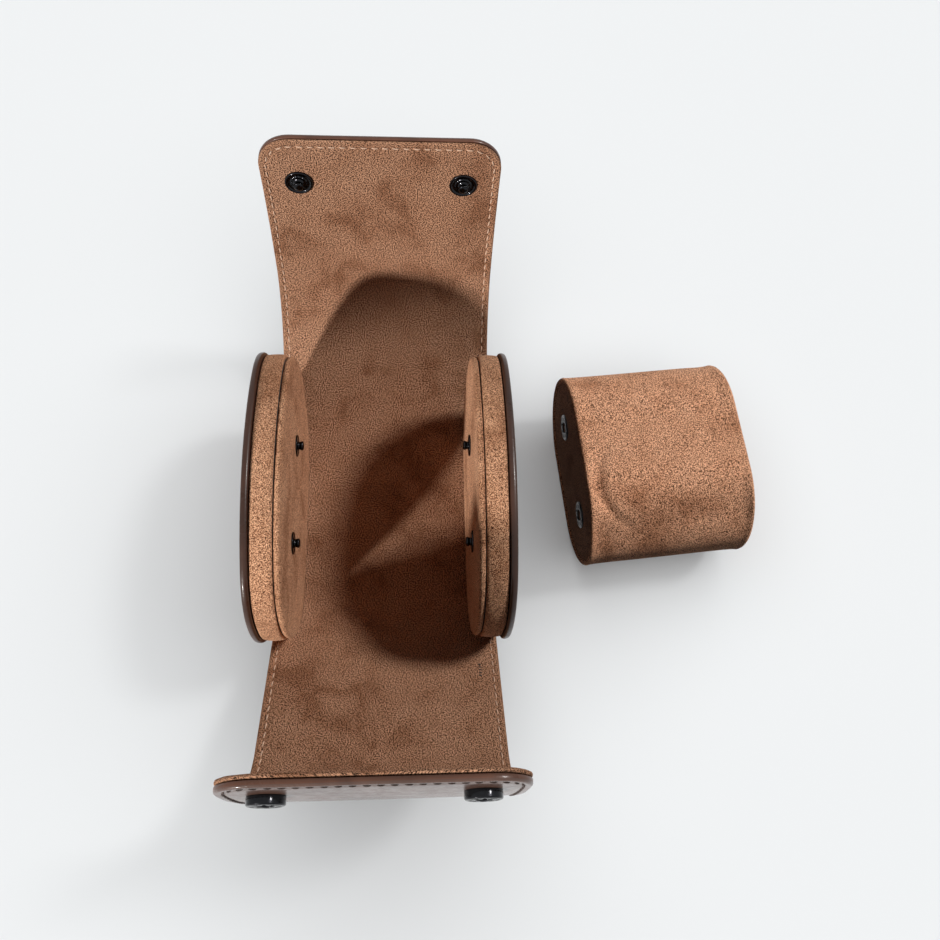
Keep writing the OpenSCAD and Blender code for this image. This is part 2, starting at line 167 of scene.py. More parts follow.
class CushionSizes(bpy.types.PropertyGroup):
    """Sizes and place of the cushion"""
    flat: length("Flat", "Half length of the flat underside", 13)
    corner: length("Corner radius", "Radius of the upper and lower corners", 23.7)
    side: length("End radius", "Radius of the front and rear ends", 22.5)
    half_length: length("Half length", "Half length of the cover", 29.7)
    lip: length("Lip", "How deep the end panels sit", 0.5)
    place_x: length("Place across", "Place of the middle across the roll", 98.8)
    place_y: length("Place along", "Place of the middle from front to back", 17.7)
    turn: angle("Turn", "Turn of the cushion on the table", 5.5)


class Finish(bpy.types.PropertyGroup):
    """Colours of the materials"""
    suede: colour("Suede", "Middle colour of the suede", 168, 118, 88)
    suede_dark: colour("Suede shade", "Colour of suede brushed the dark way", 112, 72, 52)
    suede_light: colour("Suede light", "Colour of suede brushed the light way", 208, 167, 138)
    leather: colour("Leather", "Colour of the smooth leather", 82, 57, 46)
    leather_edge: colour("Leather edge", "Colour of the burnished edges", 94, 62, 48)
    thread: colour("Thread", "Colour of the thread", 230, 192, 164)
    thread_dark: colour("Dark thread", "Colour of the thread on the leather", 58, 40, 33)
    board: colour("Board", "Colour of the stiffener board", 44, 33, 28)
    metal: colour("Snap metal", "Colour of the black nickel plate", 32, 32, 35)
    foam: colour("Foam", "Colour of the foam filling", 90, 86, 80)
    floor: colour("Floor", "Colour of the floor", 225, 227, 228)


GROUPS = {"roll_wrap": WrapSizes, "roll_cap": CapSizes, "roll_snap": SnapSizes,
          "roll_cushion": CushionSizes, "roll_finish": Finish}


def sizes(key):
    return getattr(bpy.context.scene, key)


# ---- Paths made of straight and curved legs, in the YZ plane ----

def step_along(pose, run, turn):
    y, z, heading = pose
    if abs(turn) < 1e-9:
        return y + run * math.cos(heading), z + run * math.sin(heading), heading
    radius, end = run / turn, heading + turn
    return (y + radius * (math.sin(end) - math.sin(heading)),
            z - radius * (math.cos(end) - math.cos(heading)), end)


class Path:
    """A path from the middle of the foot, with its faces shifted out to the right of it"""

    def __init__(self, legs, height):
        self.legs, self.start = legs, (0.0, height, 0.0)
        self.total = sum(run for run, _ in legs)

    def pose(self, s):
        pose = self.start
        for i, (run, turn) in enumerate(self.legs):
            if s <= run or i == len(self.legs) - 1:
                return step_along(pose, s, turn * s / run)
            pose, s = step_along(pose, run, turn), s - run

    def point(self, s, depth):
        y, z, heading = self.pose(s)
        return y + depth * math.sin(heading), z - depth * math.cos(heading)


def wrap_thickness():
    w = sizes("roll_wrap")
    return w.lining + w.board + w.leather


def flap_path(rear):
    w = sizes("roll_wrap")
    rise = w.rear_rise if rear else w.front_rise
    legs = [(w.foot, 0.0), (w.low_radius * rise, rise)]
    if rear:
        legs += [(w.rear_run, 0.0), (w.rear_bend, w.rear_turn), (w.rear_end, w.rear_curl)]
    else:
        legs += [(w.front_run, 0.0), (w.front_bend, w.front_turn), (w.front_end, w.front_curl)]
    return Path(legs, wrap_thickness())


def flap_start(rear):
    w = sizes("roll_wrap")
    return w.foot + w.low_radius * (w.rear_rise if rear else w.front_rise)


def place_on_flap(rear, s, x, depth):
    y, z = flap_path(rear).point(s, depth)
    return Vector((x, y if rear else -y, z))


# Where the sections of each flap meet, from where the flap leaves the caps
SPLITS = {True: (0.009, 0.021, 0.062, 0.100), False: (0.009, 0.027, 0.048)}
# How far to each side of a split a bend would reach; the pieces are not bent
REACH = {True: (0.006, 0.006, 0.009, 0.009), False: (0.007, 0.007, 0.008)}


def flap_regions(rear):
    """(first, last, body before, body after, split) of the pieces of a flap, each over one fold"""
    side, start, path = ("rear" if rear else "front"), flap_start(rear), flap_path(rear)
    splits = [start + s for s in SPLITS[rear]]
    edges = [0.0] + [(a + b) / 2 for a, b in zip(splits, splits[1:])] + [path.total]
    bodies = ["case"] + [f"{side}_{i + 1}" for i in range(len(splits))]
    return [(edges[i], edges[i + 1], bodies[i], bodies[i + 1], splits[i], REACH[rear][i])
            for i in range(len(splits))]


def bend_piece(piece, rear, before, after, split, reach):
    start = place_on_flap(rear, split - reach, 0.0, 0.0)
    end = place_on_flap(rear, split + reach, 0.0, 0.0)
    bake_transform(piece)


# ---- Mesh helpers ----

def rough(x, y, z=0.0):
    """Smooth noise from -1 to 1"""
    return noise.noise(Vector((x, y, z)))


def ridge(value, middle, width):
    """A smooth bump of height 1 about a middle"""
    return math.exp(-((value - middle) / width) ** 2)


def finish_mesh(name, bm, finishes, sharp=None):
    """Makes a smooth object of a mesh; sharp is the angle past which an edge shows"""
    mesh = bpy.data.meshes.new(name)
    bmesh.ops.recalc_face_normals(bm, faces=bm.faces)
    bm.to_mesh(mesh)
    bm.free()
    mesh.polygons.foreach_set("use_smooth", [True] * len(mesh.polygons))
    if sharp:
        mesh.set_sharp_from_angle(angle=math.radians(sharp))
    piece = bpy.data.objects.new(name, mesh)
    bpy.context.scene.collection.objects.link(piece)
    for finish in finishes:
        mesh.materials.append(finish_of(finish))
    return piece


def set_uv(bm, table):
    """Writes the sheet coordinates of each vertex as its UV"""
    layer = bm.loops.layers.uv.new("UVMap")
    for face in bm.faces:
        for loop in face.loops:
            loop[layer].uv = table[loop.vert]


def revolve(bm, profile, sides, place, wobble=None):
    """Adds a turned form: profile is (radius, height) from the axis outwards and back to it,
    and wobble changes a radius and height by the angle"""
    rings = []
    for radius, height in profile:
        if radius < 1e-7:
            rings.append([bm.verts.new(place @ Vector((0, 0, height)))])
            continue
        ring = []
        for k in range(sides):
            a = 2 * math.pi * k / sides
            r, h = (radius, height) if wobble is None else wobble(radius, height, a)
            ring.append(bm.verts.new(place @ Vector((r * math.cos(a), r * math.sin(a), h))))
        rings.append(ring)
    for one, two in zip(rings, rings[1:]):
        for k in range(sides):
            j = (k + 1) % sides
            if len(one) == 1:
                corners = (one[0], two[k], two[j])
            elif len(two) == 1:
                corners = (one[k], two[0], one[j])
            else:
                corners = (one[k], two[k], two[j], one[j])
            bm.faces.new(corners)


def arc_profile(points):
    """Rounds each inner corner of a (radius, height, rounding) profile"""
    out, steps = [], 4
    for i, (r, h, fillet) in enumerate(points):
        here = Vector((r, h))
        if fillet <= 0 or i in (0, len(points) - 1):
            out.append((r, h))
            continue
        before, after = Vector(points[i - 1][:2]) - here, Vector(points[i + 1][:2]) - here
        cut = min(fillet, before.length * 0.45, after.length * 0.45)
        one, two = here + before.normalized() * cut, here + after.normalized() * cut
        for k in range(steps + 1):
            t = k / steps
            p = one * (1 - t) ** 2 + here * 2 * t * (1 - t) + two * t ** 2
            out.append((p.x, p.y))
    return out


# ---- Materials ----

def times(shade, factor):
    return tuple(v * factor for v in shade)


def grey(level):
    return (level,) * 3


class Nodes:
    """A short hand for building the node tree of a material or of the world"""

    def __init__(self, owner):
        owner.use_nodes = True
        self.owner, self.tree = owner, owner.node_tree

    def add(self, kind, values=(), **settings):
        node = self.tree.nodes.new(kind)
        for key, value in settings.items():
            setattr(node, key, value)
        for key, value in dict(values).items():
            node.inputs[key].default_value = value
        return node

    def link(self, source, target):
        self.tree.links.new(source, target)

    def noise(self, where, scale, detail=2.0, roughness=0.5, distortion=0.0):
        node = self.add("ShaderNodeTexNoise", {"Scale": scale, "Detail": detail,
                                               "Roughness": roughness, "Distortion": distortion})
        self.link(where, node.inputs["Vector"])
        return node.outputs["Fac"]

    def ramp(self, value, stops):
        """Colours by value; stops gives the first place, the last and then those between"""
        node = self.add("ShaderNodeValToRGB")
        points = node.color_ramp.elements
        for i, (place, shade) in enumerate(stops):
            point = points[i] if i < 2 else points.new(place)
            point.position, point.color = place, (*shade, 1.0)
        self.link(value, node.inputs["Fac"])
        return node.outputs["Color"]

    def feed(self, value, socket):
        """Links another socket, or writes a number or a colour"""
        if isinstance(value, bpy.types.NodeSocket):
            self.link(value, socket)
        elif isinstance(value, (int, float)):
            socket.default_value = value
        else:
            socket.default_value = (*value, 1.0)

    def mix(self, factor, one, two, mode="MIX"):
        node = self.add("ShaderNodeMix", data_type="RGBA", blend_type=mode)
        for value, i in ((factor, 0), (one, 6), (two, 7)):
            self.feed(value, node.inputs[i])
        return node.outputs[2]

    def math(self, operation, one, two):
        node = self.add("ShaderNodeMath", operation=operation)
        self.feed(one, node.inputs[0])
        self.feed(two, node.inputs[1])
        return node.outputs[0]

    def blend(self, one, two, share):
        """One value with the given share, and the other with the rest"""
        return self.math("ADD", self.math("MULTIPLY", one, share),
                         self.math("MULTIPLY", two, 1 - share))

    def seen(self):
        """1 where the thing is seen straight, mirrored or through glass, 0 where it lights"""
        path = self.add("ShaderNodeLightPath").outputs
        seen = self.math("MAXIMUM", path["Is Camera Ray"], path["Is Glossy Ray"])
        return self.math("MAXIMUM", seen, path["Is Transmission Ray"])

    def where(self, kind):
        """Coordinates: UV, which are those of the flat sheet, or Object"""
        return self.add("ShaderNodeTexCoord").outputs[kind]

    def bump(self, height, strength, distance, under=None):
        node = self.add("ShaderNodeBump", {"Strength": strength, "Distance": distance})
        self.link(height, node.inputs["Height"])
        if under is not None:
            self.link(under, node.inputs["Normal"])
        return node.outputs["Normal"]

    def finish(self, **values):
        """Feeds the shader's inputs and gives the material"""
        for key, value in values.items():
            self.feed(value, self.tree.nodes["Principled BSDF"].inputs[key.replace("_", " ")])
        return self.owner


def new_finish(name):
    return sizes("roll_finish"), Nodes(bpy.data.materials.new(name))


def suede_material(name, kind, tone=1.0, contrast=1.0, size=1.0):
    """Short nap: fine speckle, patches brushed lighter and darker, and a soft sheen"""
    f, n = new_finish(name)
    where, middle = n.where(kind), 0.49
    speckle = n.noise(where, 2800 / size, 1, 0.6)
    curl = n.noise(where, 5000 / size, 1, 0.6)
    cloud = n.noise(where, 75, 4, 0.62, 0.4)
    patch = n.noise(where, 19, 2, 0.5, 0.2)
    grain = n.blend(speckle, curl, 0.6)
    tips = tuple(min(1.0, (u + v) * tone * 0.86) for u, v in zip(f.suede, f.suede_light))
    nap = n.ramp(grain, [(middle - 0.08 / contrast, times(f.suede_dark, tone * 0.20)),
                         (middle + 0.09 / contrast, tips), (middle, times(f.suede, tone))])
    shade = n.ramp(n.blend(cloud, patch, 0.6), [(0.38, (0.62, 0.53, 0.47)), (0.60, grey(1.0)),
                                                (0.48, (0.90, 0.86, 0.83))])
    soft = n.bump(cloud, 0.25, 0.0012)
    return n.finish(Base_Color=n.mix(1.0, nap, shade, "MULTIPLY"), Roughness=0.92,
                    Sheen_Weight=0.2, Sheen_Roughness=0.45, Sheen_Tint=f.suede_light,
                    Specular_IOR_Level=0.15, Normal=n.bump(grain, 0.9, 0.00045, soft))


def leather_material(name, kind, edge=False, depth=1.0):
    """Smooth leather with a fine pebble grain; edges are burnished and glossier"""
    f, n = new_finish(name)
    where = n.where(kind)
    pebble = n.add("ShaderNodeTexVoronoi", {"Scale": 1500.0, "Randomness": 0.9},
                   feature="SMOOTH_F1")
    n.link(where, pebble.inputs["Vector"])
    pores = n.noise(where, 2600, 3, 0.6)
    tone = n.noise(where, 60, 4, 0.6, 0.3)
    base = times(f.leather_edge if edge else f.leather, depth)
    low, high, relief, coat = (0.26, 0.42, 0.10, 0.1) if edge else (0.30, 0.48, 0.28, 0.6)
    rub = n.ramp(n.noise(where, 220, 3, 0.6), [(0.35, grey(low)), (0.7, grey(high))])
    grain = n.bump(pebble.outputs["Distance"], relief, 0.0004)
    return n.finish(Base_Color=n.ramp(tone, [(0.3, times(base, 0.66)), (0.7, times(base, 1.25)),
                                             (0.5, base)]),
                    Roughness=rub, Specular_IOR_Level=0.25, Coat_Weight=coat, Coat_Roughness=0.1,
                    Normal=n.bump(pores, 0.12, 0.0002, grain))


def thread_material(name, key):
    """Twisted thread with a slight sheen"""
    f, n = new_finish(name)
    shade = getattr(f, key)
    twist = n.add("ShaderNodeTexWave", {"Scale": 900.0, "Distortion": 1.0}, wave_type="BANDS",
                  bands_direction="DIAGONAL")
    n.link(n.where("Object"), twist.inputs["Vector"])
    tone = n.ramp(twist.outputs["Fac"], [(0.0, times(shade, 0.72)), (1.0, shade)])
    return n.finish(Base_Color=tone, Roughness=0.7, Sheen_Weight=0.2, Sheen_Roughness=0.5,
                    Normal=n.bump(twist.outputs["Fac"], 0.4, 0.0001))


def metal_material(name):
    """Black nickel plate with fine scuffs"""
    f, n = new_finish(name)
    where = n.where("Object")
    tone = n.ramp(n.noise(where, 900, 3, 0.6), [(0.3, times(f.metal, 0.6)), (0.7, f.metal)])
    scuff = n.ramp(n.noise(where, 1600, 4, 0.7, 0.6), [(0.4, grey(0.12)), (0.7, grey(0.28))])
    return n.finish(Base_Color=tone, Metallic=1.0, Roughness=scuff, Coat_Weight=0.25,
                    Coat_Roughness=0.06, Normal=n.bump(n.noise(where, 700, 2), 0.05, 0.0001))


def board_material(name):
    """Pressed fibre board, dark and matt"""
    f, n = new_finish(name)
    fibre = n.noise(n.where("Object"), 1400, 4, 0.7)
    tone = n.ramp(fibre, [(0.3, times(f.board, 0.6)), (0.7, f.board)])
    return n.finish(Base_Color=tone, Roughness=0.9, Normal=n.bump(fibre, 0.5, 0.0002))


def foam_material(name):
    """Open-cell foam"""
    f, n = new_finish(name)
    cells = n.add("ShaderNodeTexVoronoi", {"Scale": 1200.0})
    n.link(n.where("Object"), cells.inputs["Vector"])
    depth = cells.outputs["Distance"]
    tone = n.ramp(depth, [(0.0, times(f.foam, 0.5)), (0.6, f.foam)])
    return n.finish(Base_Color=tone, Roughness=0.95, Normal=n.bump(depth, 0.6, 0.0004))


# The maker of each material and what it is told: coordinates, then tone, contrast and size of
# the nap for suede, edge and depth for leather, or the colour for thread
RECIPES = {
    # The lining is a copy of the suede darkened to 0.73, painted shade
    "suede_lining": (suede_material, "UV", 0.73, 4.6, 1.15),
    # The cap bands and panels take a copy of the suede brightened to 1.24, painted light
    "suede": (suede_material, "Object", 1.24, 1.0, 0.9),
    "suede_cushion": (suede_material, "Object", 0.99, 1.9),
    # The cushion ends take a copy of the suede darkened to 0.55, painted shade
    "suede_end": (suede_material, "Object", 0.55, 1.4),
    "leather_sheet": (leather_material, "UV"),
    "leather_sheet_edge": (leather_material, "UV", True),
    "leather_edge": (leather_material, "Object", True, 0.45),
    "waxed_thread": (thread_material, "thread"),
    "dark_thread": (thread_material, "thread_dark"),
    "black_nickel": (metal_material,),
    "fibre_board": (board_material,),
    "open_cell_foam": (foam_material,),
}


MATERIALS = {}


def finish_of(name):
    """The material of that name, made on first use"""
    if name not in MATERIALS:
        maker, *told = RECIPES[name]
        MATERIALS[name] = maker(name, *told)
    return MATERIALS[name]


# ---- Wrap: three layers, each in seven closed pieces over one fold ----

# Distances from an edge, in mm, where the sheets have lines of points
RIM = (0, 0.14, 0.4, 0.8, 1.3, 1.7, 2.1, 2.5, 3.0, 3.8, 5.0, 6.4, 8.0, 9.6, 11.2)
# Spaces between the other lines of points, and the rounding of an edge that is hardly seen
ACROSS, ALONG, PLAIN_EDGE = 0.0034, 0.0022, 0.00045


def lines(first, last, step):
    count = max(1, round((last - first) / step))
    return [first + (last - first) * i / count for i in range(count + 1)]


def across_lines(half):
    edge = [half - d * MM for d in RIM]
    inner = lines(-edge[-1], edge[-1], ACROSS)[1:-1]
    return [-x for x in edge] + inner + edge[::-1]


def along_lines(first, last, rim):
    if not rim:
        return lines(first, last, ALONG)
    edge = [last - d * MM for d in RIM][::-1]
    return lines(first, edge[0], ALONG)[:-1] + edge


def round_corner(s, x, total, half, corner):
    """Turns the square corner of a sheet into a round one"""
    p, q = s - (total - corner), abs(x) - (half - corner)
    if p <= 0 or q <= 0:
        return s, x
    m = max(p, q)
    a = math.pi / 4 * (q / p if p >= q else 2 - p / q)
    return total - corner + m * math.cos(a), math.copysign(half - corner + m * math.sin(a), x)


def sheet_piece(name, rear, region, depths, finishes, inset, top, under, edges):
    """One piece of a layer: a closed sheet with rounded rims over one fold, which is not bent.
    top and under give the dent of each face from (s, x, distance from the edge), and edges
    their rounding."""
    w, path = sizes("roll_wrap"), flap_path(rear)
    first, last, before, after, split, reach = region
    ends = abs(last - path.total) < 1e-6
    half, total, corner = w.half_width - inset, path.total - inset, w.corner - inset / 2
    last = min(last, total)
    rows, columns = along_lines(first, last, ends), across_lines(half)
    low, high = depths
    bm, table, faces = bmesh.new(), {}, []
    for side, dent, edge in ((1, top, edges[0]), (-1, under, edges[1])):
        grid = []
        for s in rows:
            row = []
            for x in columns:
                gap = min(half - abs(x), total - s) if ends else half - abs(x)
                ps, px = round_corner(s, x, total, half, corner) if ends else (s, x)
                sunk = dent(s if rear else -s, x, gap) if dent else 0.0
                if gap < edge:
                    sunk += edge - math.sqrt(max(0.0, edge ** 2 - (edge - gap) ** 2))
                depth = low + sunk if side > 0 else high - sunk
                y, z = path.point(ps, depth)
                vert = bm.verts.new((px, y if rear else -y, z))
                wrap = depth - low
                table[vert] = ((ps + wrap) * (1 if rear else -1), px + math.copysign(wrap, px))
                row.append(vert)
            grid.append(row)
        faces.append(grid)
    one, two = faces
    rim = len(finishes) - 1

    def skin(corners, index=rim):
        bm.faces.new(corners).material_index = index

    # The outer face has the first finish, and rims and covered faces have the last
    for grid, index in ((one, rim if low else 0), (two, 0)):
        for i in range(len(rows) - 1):
            for j in range(len(columns) - 1):
                skin((grid[i][j], grid[i][j + 1], grid[i + 1][j + 1], grid[i + 1][j]), index)
    for j in (0, -1):
        for i in range(len(rows) - 1):
            skin((one[i][j], one[i + 1][j], two[i + 1][j], two[i][j]))
    if ends:
        for j in range(len(columns) - 1):
            skin((one[-1][j], one[-1][j + 1], two[-1][j + 1], two[-1][j]))
    for i in ([0] if ends else [0, -1]):
        skin(one[i] + two[i][::-1])
    set_uv(bm, table)
    piece = finish_mesh(name, bm, finishes, 62)
    bend_piece(piece, rear, before, after, split, reach)
    return piece


def layer_nodes(rear, i, layer):
    """CAD nodes that one piece of a layer stands for"""
    side = "rear" if rear else "front"
    return [f"{side}_{layer}_{i + 1}"] + ([f"base_{layer}"] if i == 0 and rear else [])


def wrap_layer(layer, depths, finishes, inset=0.0, top=None, under=None,
               edges=(PLAIN_EDGE, PLAIN_EDGE)):
    for rear in (True, False):
        side = "rear" if rear else "front"
        for i, region in enumerate(flap_regions(rear)):
            piece = sheet_piece(f"{side}_{layer}_sheet_{i + 1}", rear, region, depths,
                                finishes, inset, top, under, edges)
            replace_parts(piece, *layer_nodes(rear, i, layer))


def stitch_dent(gap, depth):
    """The line that the stitches pull into a sheet"""
    return depth * ridge(gap, sizes("roll_wrap").stitch_inset, 0.6 * MM)


def lining_face(s, x, gap):
    """Soft waves of the suede, the dent along its stitches and the ragged cut edge"""
    wave = 0.16 * rough(s * 55, x * 55, 3.1) + 0.07 * rough(s * 260, x * 260, 7.7)
    ragged = 0.1 * abs(rough(s * 900, x * 900)) if gap < 0.4 * MM else 0.0
    return (wave + ragged) * MM + stitch_dent(gap, 0.28 * MM)


def leather_top(s, x, gap):
    """The leather rises to the lining past the edge of the board"""
    w = sizes("roll_wrap")
    t = min(1.0, max(0.0, (w.board_inset - gap) / (w.board_inset * 0.5)))
    return -w.pinch * t * t * (3 - 2 * t)


def leather_face(s, x, gap):
    """Faint waves of the leather and the dent along its stitches"""
    return 0.09 * MM * (1 + rough(s * 45, x * 45, 9.4)) + stitch_dent(gap, 0.24 * MM)


class ROLL_OT_lining(bpy.types.Operator):
    """Make the suede lining of the wrap"""
    bl_idname = "roll.lining"
    bl_label = "Suede lining"

    def execute(self, context):
        w = sizes("roll_wrap")
        wrap_layer("lining", (0.0, w.lining), ["suede_lining"], 0.0, lining_face)
        return {"FINISHED"}


class ROLL_OT_boards(bpy.types.Operator):
    """Make the stiffener board inside the wrap"""
    bl_idname = "roll.boards"
    bl_label = "Stiffener board"

    def execute(self, context):
        w = sizes("roll_wrap")
        wrap_layer("board", (w.lining, w.lining + w.board), ["fibre_board"],
                   w.board_inset)
        return {"FINISHED"}


class ROLL_OT_leather(bpy.types.Operator):
    """Make the outer leather of the wrap"""
    bl_idname = "roll.leather"
    bl_label = "Outer leather"

    def execute(self, context):
        w = sizes("roll_wrap")
        wrap_layer("leather", (w.lining + w.board, wrap_thickness()),
                   ["leather_sheet", "leather_sheet_edge"], 0.0, leather_top, leather_face,
                   (0.2 * MM, 0.7 * MM))
        return {"FINISHED"}


def stitch_line(rear, begin):
    """Sheet coordinates along the stitches of a flap, from one side round the end to the other"""
    w, path = sizes("roll_wrap"), flap_path(rear)
    half, total = w.half_width - w.stitch_inset, path.total - w.stitch_inset
    corner = w.corner - w.stitch_inset
    straight, arc, end = total - corner - begin, corner * math.pi / 2, 2 * (half - corner)
    whole = 2 * (straight + arc) + end

    def at(t):
        mirror = 1 if t <= whole / 2 else -1
        t = min(t, whole - t)
        if t <= straight:
            return begin + t, mirror * half
        t -= straight
        if t <= arc:
            a = t / corner
            return (total - corner + corner * math.sin(a),
                    mirror * (half - corner + corner * math.cos(a)))
        return total, mirror * (half - corner - (t - arc))
    return at, whole


def add_stitch(bm, rear, one, two, depth, out, radius, dark):
    """A short bar of thread from one hole to the next, its ends sunk in the sheet"""
    path, steps, sides = flap_path(rear), 6, 7
    rings = []
    for k in range(steps + 1):
        t = k / steps
        s, x = one[0] + (two[0] - one[0]) * t, one[1] + (two[1] - one[1]) * t
        lift = math.sin(math.pi * t) ** 0.5 * radius * 1.05 - radius * 0.55
        thick = radius * (0.5 + 0.5 * math.sin(math.pi * t) ** 0.4)
        y, z = path.point(s, depth + out * lift)
        heading = path.pose(s)[2]
        along = Vector((0, math.cos(heading), math.sin(heading)))
        up = Vector((0, math.sin(heading), -math.cos(heading)))
        run = Vector((two[1] - one[1], 0, 0)) + along * (two[0] - one[0])
        side = run.normalized().cross(up)
        ring = []
        for j in range(sides):
            a = 2 * math.pi * j / sides
            p = Vector((x, y, z)) + side * (math.cos(a) * thick) + up * (math.sin(a) * thick)
            ring.append(bm.verts.new((p.x, p.y if rear else -p.y, p.z)))
        rings.append(ring)
    skins = [(a[j], a[(j + 1) % sides], b[(j + 1) % sides], b[j])
             for a, b in zip(rings, rings[1:]) for j in range(sides)]
    for skin in (*skins, rings[0][::-1], rings[-1]):
        bm.faces.new(skin).material_index = int(dark)


# Stitches lie this deep in the lining and in the leather, and begin this far up each
SEWN = ((0.12 * MM, -1, 1 * MM), (-0.22 * MM, 1, 6 * MM))
# The dark tack on the front lining: bars, place of the first, space between, place across
TACK = (5, 26.7 * MM, 1.2 * MM, 32.8 * MM)


def stitch_flap(rear, seed):
    """The stitches of a flap as one mesh for each of its pieces"""
    w, regions = sizes("roll_wrap"), flap_regions(rear)
    meshes = [bmesh.new() for _ in regions]
    for depth, out, up in SEWN:
        begin = up + (w.foot if out > 0 else flap_start(rear))
        depth += wrap_thickness() if out > 0 else 0.0
        at, whole = stitch_line(rear, begin)
        count = round(whole / w.stitch_pitch)
        for k in range(count):
            middle = whole * (k + 0.5) / count + seed.uniform(-0.1, 0.1) * MM
            reach = w.stitch_length / 2 * seed.uniform(0.93, 1.05)
            one, two = at(middle - reach), at(middle + reach)
            slant = seed.uniform(0.05, 0.22) * MM
            if abs(one[1] - two[1]) < abs(one[0] - two[0]):
                one, two = (one[0], one[1] - slant), (two[0], two[1] + slant)
            s = (one[0] + two[0]) / 2
            i = next(i for i, r in enumerate(regions) if s < r[1] or i == len(regions) - 1)
            add_stitch(meshes[i], rear, one, two, depth, out, w.thread, out > 0)
    if not rear:
        bars, first, space, x = TACK
        for k in range(bars):
            s = flap_start(False) + first + space * k
            add_stitch(meshes[1], rear, (s, x - 0.6 * MM), (s + 0.3 * MM, x + 0.6 * MM),
                       0.1 * MM, -1, w.thread, True)
    return meshes, regions


class ROLL_OT_stitches(bpy.types.Operator):
    """Sew the edges of both flaps, seen on the lining and on the leather"""
    bl_idname = "roll.stitches"
    bl_label = "Stitches"

    def execute(self, context):
        seed = random.Random(5)
        for rear, side in ((True, "rear"), (False, "front")):
            for i, (bm, region) in enumerate(zip(*stitch_flap(rear, seed))):
                piece = finish_mesh(f"{side}_stitches_{i + 1}", bm,
                                    ["waxed_thread", "dark_thread"])
                bend_piece(piece, rear, *region[2:])
        return {"FINISHED"}


# ---- Snap fasteners ----

def flap_frame(rear, back, x, depth):
    """Matrix of a snap on a flap: its Z points out of the leather"""
    path = flap_path(rear)
    s = path.total - back
    heading = path.pose(s)[2]
    turn = Matrix.Rotation(math.pi + heading if rear else math.pi - heading, 4, "X")
    place = Matrix.Translation(place_on_flap(rear, s, x, depth))
    return place @ turn


def stud_profile(radius, height):
    """Half section of a stud: dished flange with a bulbed post"""
    n = sizes("roll_snap")
    post, long = n.post_radius, n.post_length
    return arc_profile([
        (0, -0.3 * MM, 0), (radius, -0.3 * MM, 0), (radius, height * 0.7, 0.15 * MM),
        (radius * 0.95, height, 0.12 * MM), (radius * 0.86, height, 0.12 * MM),
        (radius * 0.78, height * 0.45, 0.12 * MM), (radius * 0.62, height * 0.45, 0.1 * MM),
        (radius * 0.56, height * 0.8, 0.1 * MM), (post * 1.15, height * 0.8, 0.1 * MM),
        (post * 0.84, height + long * 0.12, 0.2 * MM),
        (post * 0.84, height + long * 0.36, 0.2 * MM), (post, height + long * 0.6, 0.3 * MM),
        (post * 0.96, height + long * 0.84, 0.4 * MM),
        (post * 0.55, height + long, 0.5 * MM), (0, height + long, 0)])


def socket_profile(height, deep):
    """Half section of a socket: drum with a domed face and a sprung mouth"""
    n = sizes("roll_snap")
    r, bore = n.socket_radius, n.post_radius + n.bore_gap
    return arc_profile([
        (0, -deep, 0), (r * 0.97, -deep, 0), (r, -deep + 0.3 * MM, 0.1 * MM),
        (r, height - 0.32 * MM, 0.22 * MM), (r * 0.93, height - 0.05 * MM, 0.15 * MM),
        (r * 0.85, height - 0.02 * MM, 0.1 * MM), (r * 0.8, height - 0.2 * MM, 0.08 * MM),
        (r * 0.76, height - 0.2 * MM, 0.08 * MM), (r * 0.70, height, 0.1 * MM),
        (bore * 1.16, height, 0.12 * MM), (bore, height - 0.25 * MM, 0.15 * MM),
        (bore, height - n.post_length, 0), (0, height - n.post_length, 0)])


def cover_profile():
    """Half section of a domed cover"""
    n = sizes("roll_snap")
    r, h = n.cover_radius, n.cover_height
    return arc_profile([
        (0, -0.3 * MM, 0), (r * 0.99, -0.3 * MM, 0), (r, h * 0.35, 0.2 * MM),
        (r * 0.95, h * 0.72, 0.3 * MM), (r * 0.8, h * 0.97, 0.5 * MM), (r * 0.4, h, 1 * MM),
        (0, h, 0)])


def eyelet_profile():
    """Half section of an eyelet with a rolled rim"""
    r, h = sizes("roll_snap").eyelet_radius, 0.3 * MM
    return arc_profile([
        (0, -0.2 * MM, 0), (r, -0.2 * MM, 0), (r, h, 0.2 * MM), (r * 0.6, h, 0.2 * MM),
        (r * 0.42, -0.1 * MM, 0.1 * MM), (0, -0.1 * MM, 0)])


def slots(radius, far, count, deep):
    """Radial slots pressed into a face from half of its radius to another fraction of it"""
    def wobble(r, h, a):
        if 0.5 * radius < r < far * radius:
            h -= deep * max(0.0, math.cos(a * count)) ** 2
        return r, h
    return wobble


def flap_snaps(name, rear, back, depth, profile, flip, wobble=None):
    """Two snaps on the end of a flap; flip turns them to the lining"""
    n, bm = sizes("roll_snap"), bmesh.new()
    for x in (-n.span / 2, n.span / 2):
        place = flap_frame(rear, back, x, depth)
        if flip:
            place = place @ Matrix.Rotation(math.pi, 4, "X")
        revolve(bm, profile, n.sides, place, wobble)
    piece = finish_mesh(name, bm, ["black_nickel"], 50)
    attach(piece, "rear_4" if rear else "front_3")
    return piece


def rise_over(radius, rear):
    """How far a flat disc must stand off the hollow face of a flap end"""
    w = sizes("roll_wrap")
    bend = w.rear_end / w.rear_curl if rear else w.front_end / w.front_curl
    return bend - math.sqrt(bend ** 2 - radius ** 2)


